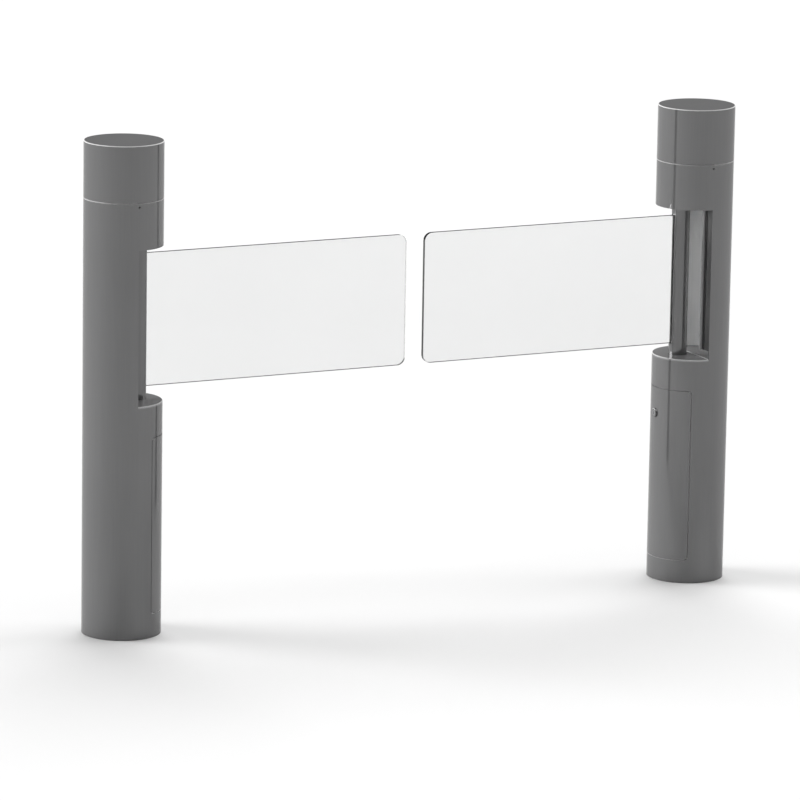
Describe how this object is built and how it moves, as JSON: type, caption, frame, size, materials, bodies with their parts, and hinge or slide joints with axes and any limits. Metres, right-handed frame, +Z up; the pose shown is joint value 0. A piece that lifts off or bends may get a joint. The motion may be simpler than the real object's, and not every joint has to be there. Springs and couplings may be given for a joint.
{
  "type": "swing turnstile",
  "caption": "Pair of round steel gate posts with half-round windows in which geared columns swing clear wings either way across a walk-through lane.",
  "frame": {"origin": "on the floor, midway between the two posts", "axes": "+X along the line of posts from the left post to the right post, +Y along the lane away from the picture's viewpoint, +Z up"},
  "size_m": [1.518, 0.168, 1.05],
  "materials": {
    "post_steel": "dark grey polished stainless steel",
    "deck_steel": "satin plate steel",
    "column_steel": "dark grey polished stainless steel",
    "wing_clear": "clear toughened sheet with polished edges",
    "rubber_black": "matt black rubber",
    "housing_aluminium": "as-machined aluminium",
    "bearing_steel": "ground bearing steel",
    "gear_steel": "machined steel, lightly oiled",
    "bush_polymer": "dark bearing polymer",
    "motor_enamel": "black enamel",
    "lock_chrome": "polished chrome",
    "screw_steel": "black oxide steel",
    "board_green": "green printed board",
    "standoff_brass": "turned brass"
  },
  "bodies": {
    "posts": {"bearing_balls": "bearing_steel", "board_standoffs": "standoff_brass", "cap_screws": "screw_steel", "drive_pillars": "deck_steel", "housing_screws": "screw_steel", "left_base_flange": "deck_steel", "left_bearing_housing": "housing_aluminium", "left_bearing_outer_ring": "bearing_steel", "left_control_board": "board_green", "left_door_frame": "deck_steel", "left_drive_deck": "deck_steel", "left_drive_motor": "motor_enamel", "left_gearbox": "housing_aluminium", "left_head_cap": "post_steel", "left_motor_plate": "deck_steel", "left_post_tube": "post_steel", "left_upper_bush": "bush_polymer", "left_window_ceiling": "deck_steel", "left_window_floor": "post_steel", "motor_screws": "screw_steel", "right_base_flange": "deck_steel", "right_bearing_housing": "housing_aluminium", "right_bearing_outer_ring": "bearing_steel", "right_control_board": "board_green", "right_door_frame": "deck_steel", "right_drive_deck": "deck_steel", "right_drive_motor": "motor_enamel", "right_gearbox": "housing_aluminium", "right_head_cap": "post_steel", "right_motor_plate": "deck_steel", "right_post_tube": "post_steel", "right_upper_bush": "bush_polymer", "right_window_ceiling": "deck_steel", "right_window_floor": "post_steel", "stop_buffers": "rubber_black"},
    "left_wing": {"left_wing_column": "column_steel", "left_wing_panel": "wing_clear", "left_wing_gaskets": "rubber_black", "left_clamp_screws": "screw_steel", "left_bearing_inner_ring": "bearing_steel", "left_driven_gear": "gear_steel", "left_stop_arm": "gear_steel"},
    "left_pinion": {"left_drive_pinion": "gear_steel"},
    "left_door": {"left_access_door": "post_steel", "left_lock_barrel": "lock_chrome"},
    "left_lock": {"left_lock_plug": "lock_chrome", "left_lock_cam": "gear_steel"},
    "right_wing": {"right_wing_column": "column_steel", "right_wing_panel": "wing_clear", "right_wing_gaskets": "rubber_black", "right_clamp_screws": "screw_steel", "right_bearing_inner_ring": "bearing_steel", "right_driven_gear": "gear_steel", "right_stop_arm": "gear_steel"},
    "right_pinion": {"right_drive_pinion": "gear_steel"},
    "right_door": {"right_access_door": "post_steel", "right_lock_barrel": "lock_chrome"},
    "right_lock": {"right_lock_plug": "lock_chrome", "right_lock_cam": "gear_steel"}
  },
  "joints": [
    {"name": "left_wing_swing", "type": "hinge", "parent": "posts", "child": "left_wing", "pos_m": [-0.643, 0, 0.667], "axis": [0, 0, 1], "range_deg": [-90, 90]},
    {"name": "left_pinion_turn", "type": "hinge", "parent": "posts", "child": "left_pinion", "pos_m": [-0.697, 0, 0.462], "axis": [0, 0, 1], "range_deg": [-270, 270]},
    {"name": "left_door_tilt", "type": "hinge", "parent": "posts", "child": "left_door", "pos_m": [-0.591, 0, 0.052], "axis": [0, 1, 0], "range_deg": [0, 20]},
    {"name": "left_lock_turn", "type": "hinge", "parent": "left_door", "child": "left_lock", "pos_m": [-0.591, 0, 0.372], "axis": [1, 0, 0], "range_deg": [0, 90]},
    {"name": "right_wing_swing", "type": "hinge", "parent": "posts", "child": "right_wing", "pos_m": [0.643, 0, 0.667], "axis": [0, 0, -1], "range_deg": [-90, 90]},
    {"name": "right_pinion_turn", "type": "hinge", "parent": "posts", "child": "right_pinion", "pos_m": [0.697, 0, 0.462], "axis": [0, 0, -1], "range_deg": [-270, 270]},
    {"name": "right_door_tilt", "type": "hinge", "parent": "posts", "child": "right_door", "pos_m": [0.591, 0, 0.052], "axis": [0, -1, 0], "range_deg": [0, 20]},
    {"name": "right_lock_turn", "type": "hinge", "parent": "right_door", "child": "right_lock", "pos_m": [0.591, 0, 0.372], "axis": [-1, 0, 0], "range_deg": [0, 90]}
  ],
  "couplings": [
    {"joint": "left_pinion_turn", "follows": "left_wing_swing", "ratio": -3},
    {"joint": "right_pinion_turn", "follows": "right_wing_swing", "ratio": -3}
  ]
}
